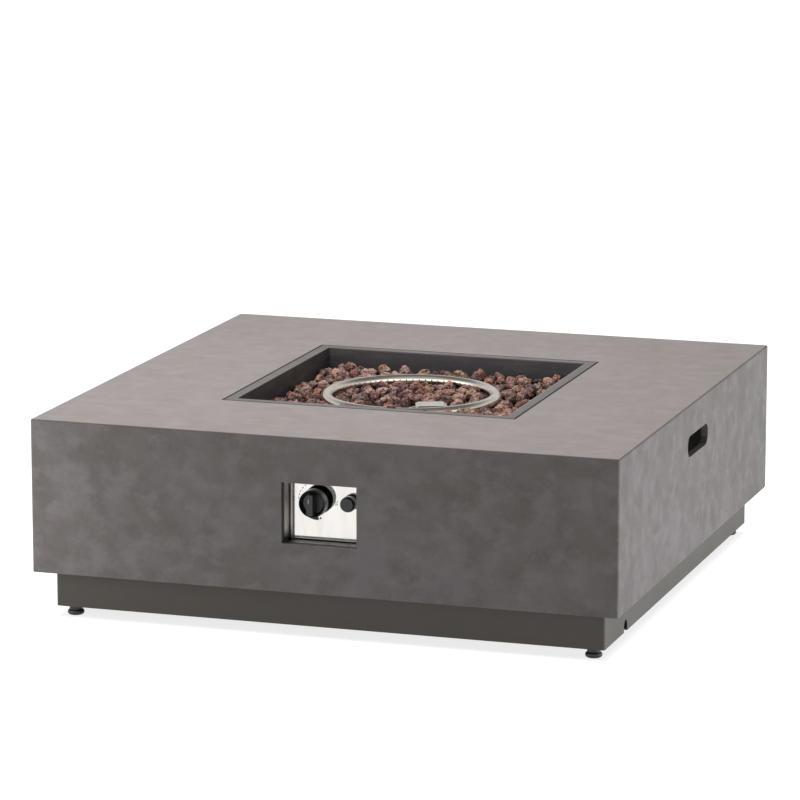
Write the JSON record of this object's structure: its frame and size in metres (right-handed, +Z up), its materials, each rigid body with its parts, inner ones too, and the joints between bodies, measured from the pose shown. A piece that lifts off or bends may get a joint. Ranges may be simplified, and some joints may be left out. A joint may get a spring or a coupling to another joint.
{
  "type": "gas fire table",
  "caption": "Low square gas fire table: cast shell on a recessed sheet plinth with levelling feet, a sunken pan with lava rock and ring burner, valve knob and push igniter in the front.",
  "frame": {"origin": "on the ground, below the middle of the table", "axes": "+X to the right seen from the controls, +Y from the controls to the back, +Z up"},
  "size_m": [1.016, 1.016, 0.3429],
  "materials": {
    "concrete": "cast, matt",
    "plinth_paint": "satin powder coat",
    "frame_paint": "satin powder coat",
    "zinc": "zinc plated",
    "black_plastic": "matt, fine texture",
    "pan_steel": "satin, heat proof",
    "stainless": "brushed",
    "mirror_steel": "polished",
    "brass": "turned",
    "aluminium": "cast and turned",
    "ceramic": "glazed",
    "lead_rubber": "silicone insulated",
    "copper_line": "drawn",
    "lava": "porous, rough",
    "foam": "closed-cell foam",
    "cell_skin": "printed sleeve"
  },
  "bodies": {
    "table": {"table_shell": "concrete", "base_frame": "frame_paint", "frame_screws": "zinc", "plinth": "plinth_paint", "plinth_bolts": "zinc", "plinth_nuts": "zinc", "corner_plate_front_left": "frame_paint", "corner_plate_front_right": "frame_paint", "corner_plate_back_right": "frame_paint", "corner_plate_back_left": "frame_paint", "foot_nuts": "zinc", "burner_pan": "pan_steel", "burner_ring": "stainless", "burner_crossbar": "stainless", "burner_nipple": "stainless", "burner_locknuts": "zinc", "air_mixer": "aluminium", "gas_orifice": "brass", "gas_tube": "aluminium", "tube_nuts": "brass", "electrode_shield": "stainless", "shield_screws": "stainless", "electrode_ceramic": "ceramic", "electrode_rod": "stainless", "thermocouple": "stainless", "electrode_clips": "stainless", "thermocouple_line": "copper_line", "ignition_lead": "lead_rubber", "lava_bed": "lava", "lava_rocks_inner": "lava", "lava_rocks_outer": "lava", "control_box": "stainless", "box_gasket": "foam", "control_plate": "mirror_steel", "plate_screws": "zinc", "box_screws": "zinc", "valve_body": "aluminium", "valve_nut": "brass", "valve_end_cap": "aluminium", "valve_spring": "zinc", "magnet_unit": "brass", "gas_inlet_elbow": "brass", "igniter_barrel": "black_plastic", "igniter_nut": "black_plastic", "igniter_battery": "cell_skin", "igniter_spring": "zinc"},
    "knob": {"knob": "black_plastic", "valve_stem": "zinc"},
    "valve_core": {"valve_plug": "brass"},
    "igniter_button": {"igniter_button": "black_plastic"},
    "pad_front_left": {"foot_pad_front_left": "black_plastic"},
    "stud_front_left": {"foot_stud_front_left": "zinc"},
    "pad_front_right": {"foot_pad_front_right": "black_plastic"},
    "stud_front_right": {"foot_stud_front_right": "zinc"},
    "pad_back_right": {"foot_pad_back_right": "black_plastic"},
    "stud_back_right": {"foot_stud_back_right": "zinc"},
    "pad_back_left": {"foot_pad_back_left": "black_plastic"},
    "stud_back_left": {"foot_stud_back_left": "zinc"}
  },
  "joints": [
    {"name": "knob_turn", "type": "hinge", "parent": "table", "child": "valve_core", "pos_m": [-0.0165, -0.468, 0.2295], "axis": [0, -1, 0], "range_deg": [0, 180]},
    {"name": "knob_push", "type": "slide", "parent": "valve_core", "child": "knob", "axis": [0, 1, 0], "range_m": [0, 0.003], "stiffness_N_per_m": 1500, "springref_m": -0.002, "deforming": ["valve_spring"]},
    {"name": "igniter_push", "type": "slide", "parent": "table", "child": "igniter_button", "axis": [0, 1, 0], "range_m": [0, 0.003], "stiffness_N_per_m": 2000, "springref_m": -0.0015, "deforming": ["igniter_spring"]},
    {"name": "foot_front_left_down", "type": "slide", "parent": "table", "child": "pad_front_left", "axis": [0, 0, -1], "range_m": [0, 0.015]},
    {"name": "foot_front_left_turn", "type": "hinge", "parent": "pad_front_left", "child": "stud_front_left", "pos_m": [-0.453, -0.453, 0.01], "axis": [0, 0, -1], "range_deg": [0, 3600]},
    {"name": "foot_front_right_down", "type": "slide", "parent": "table", "child": "pad_front_right", "axis": [0, 0, -1], "range_m": [0, 0.015]},
    {"name": "foot_front_right_turn", "type": "hinge", "parent": "pad_front_right", "child": "stud_front_right", "pos_m": [0.453, -0.453, 0.01], "axis": [0, 0, -1], "range_deg": [0, 3600]},
    {"name": "foot_back_right_down", "type": "slide", "parent": "table", "child": "pad_back_right", "axis": [0, 0, -1], "range_m": [0, 0.015]},
    {"name": "foot_back_right_turn", "type": "hinge", "parent": "pad_back_right", "child": "stud_back_right", "pos_m": [0.453, 0.453, 0.01], "axis": [0, 0, -1], "range_deg": [0, 3600]},
    {"name": "foot_back_left_down", "type": "slide", "parent": "table", "child": "pad_back_left", "axis": [0, 0, -1], "range_m": [0, 0.015]},
    {"name": "foot_back_left_turn", "type": "hinge", "parent": "pad_back_left", "child": "stud_back_left", "pos_m": [-0.453, 0.453, 0.01], "axis": [0, 0, -1], "range_deg": [0, 3600]}
  ],
  "couplings": [
    {"joint": "foot_front_left_turn", "follows": "foot_front_left_down", "rad_per_m": 4188.8},
    {"joint": "foot_front_right_turn", "follows": "foot_front_right_down", "rad_per_m": 4188.8},
    {"joint": "foot_back_right_turn", "follows": "foot_back_right_down", "rad_per_m": 4188.8},
    {"joint": "foot_back_left_turn", "follows": "foot_back_left_down", "rad_per_m": 4188.8}
  ]
}
